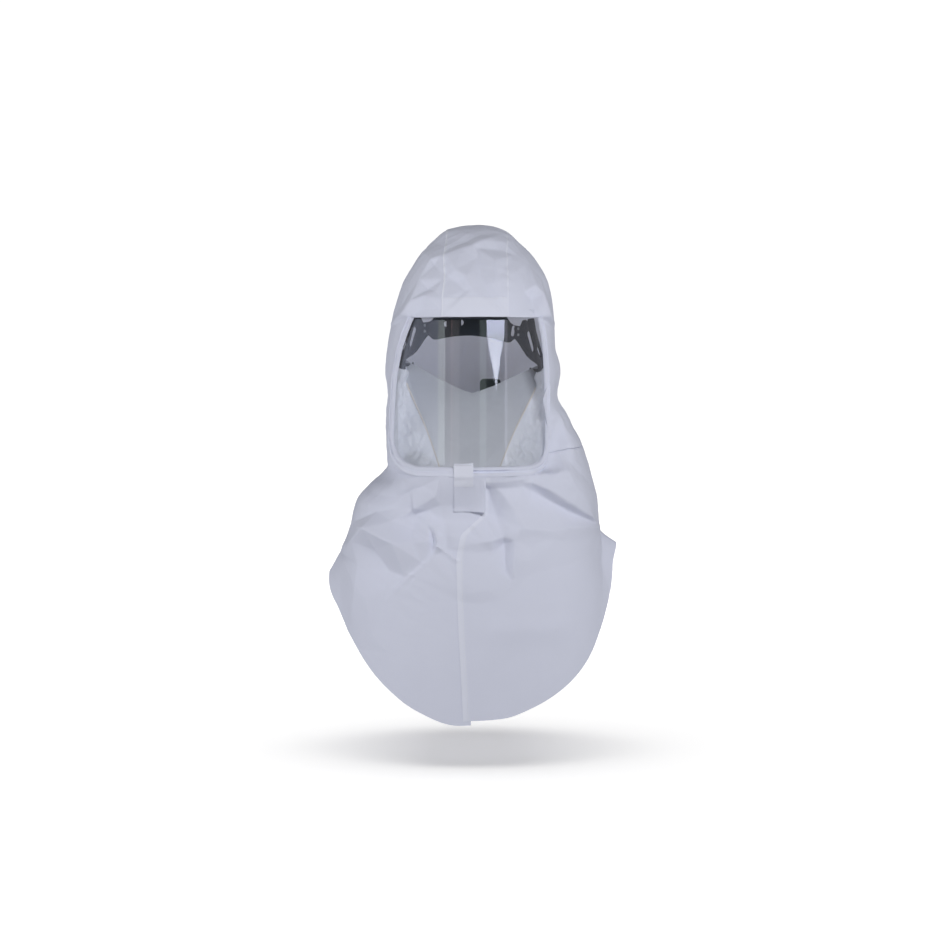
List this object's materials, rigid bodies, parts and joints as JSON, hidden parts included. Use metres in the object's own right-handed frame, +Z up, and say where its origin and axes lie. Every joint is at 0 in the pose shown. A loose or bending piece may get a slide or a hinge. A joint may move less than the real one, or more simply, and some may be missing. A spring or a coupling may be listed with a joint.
{
  "type": "disposable respirator hood",
  "caption": "White cloth respirator hood with a clear curved visor, an inner face seal, a dark head harness and a lapped shoulder bib.",
  "frame": {"origin": "middle of the headband ring, at the mid-height of the forehead band, where the head sits", "axes": "+Z up along the wearer, the visor and front of the bib face -Y, +X to the right as seen from the front"},
  "size_m": [0.3445, 0.3078, 0.5772],
  "materials": {
    "cloth": "matte non-woven",
    "clear_visor": "clear, glossy",
    "harness": "satin",
    "tan_seam": "matte",
    "tape": "satin"
  },
  "bodies": {
    "root": {"crown_panel": "cloth", "side_panel_left": "cloth", "side_panel_right": "cloth", "brow_hem": "cloth", "bib_left": "cloth", "bib_right": "cloth", "bib_back": "cloth", "neck_flap": "cloth", "chin_tab": "tape", "visor": "clear_visor", "visor_binding": "cloth", "seal_centre": "cloth", "seal_left": "cloth", "seal_right": "cloth", "seal_seam_left": "tan_seam", "seal_seam_right": "tan_seam", "forehead_band": "harness", "arm_right": "harness", "arm_left": "harness", "nape_band": "harness", "nape_housing": "harness", "rivet_left_upper": "harness", "rivet_left_lower": "harness", "stud_left": "harness", "rivet_right_upper": "harness", "rivet_right_lower": "harness", "stud_right": "harness"}
  },
  "joints": []
}
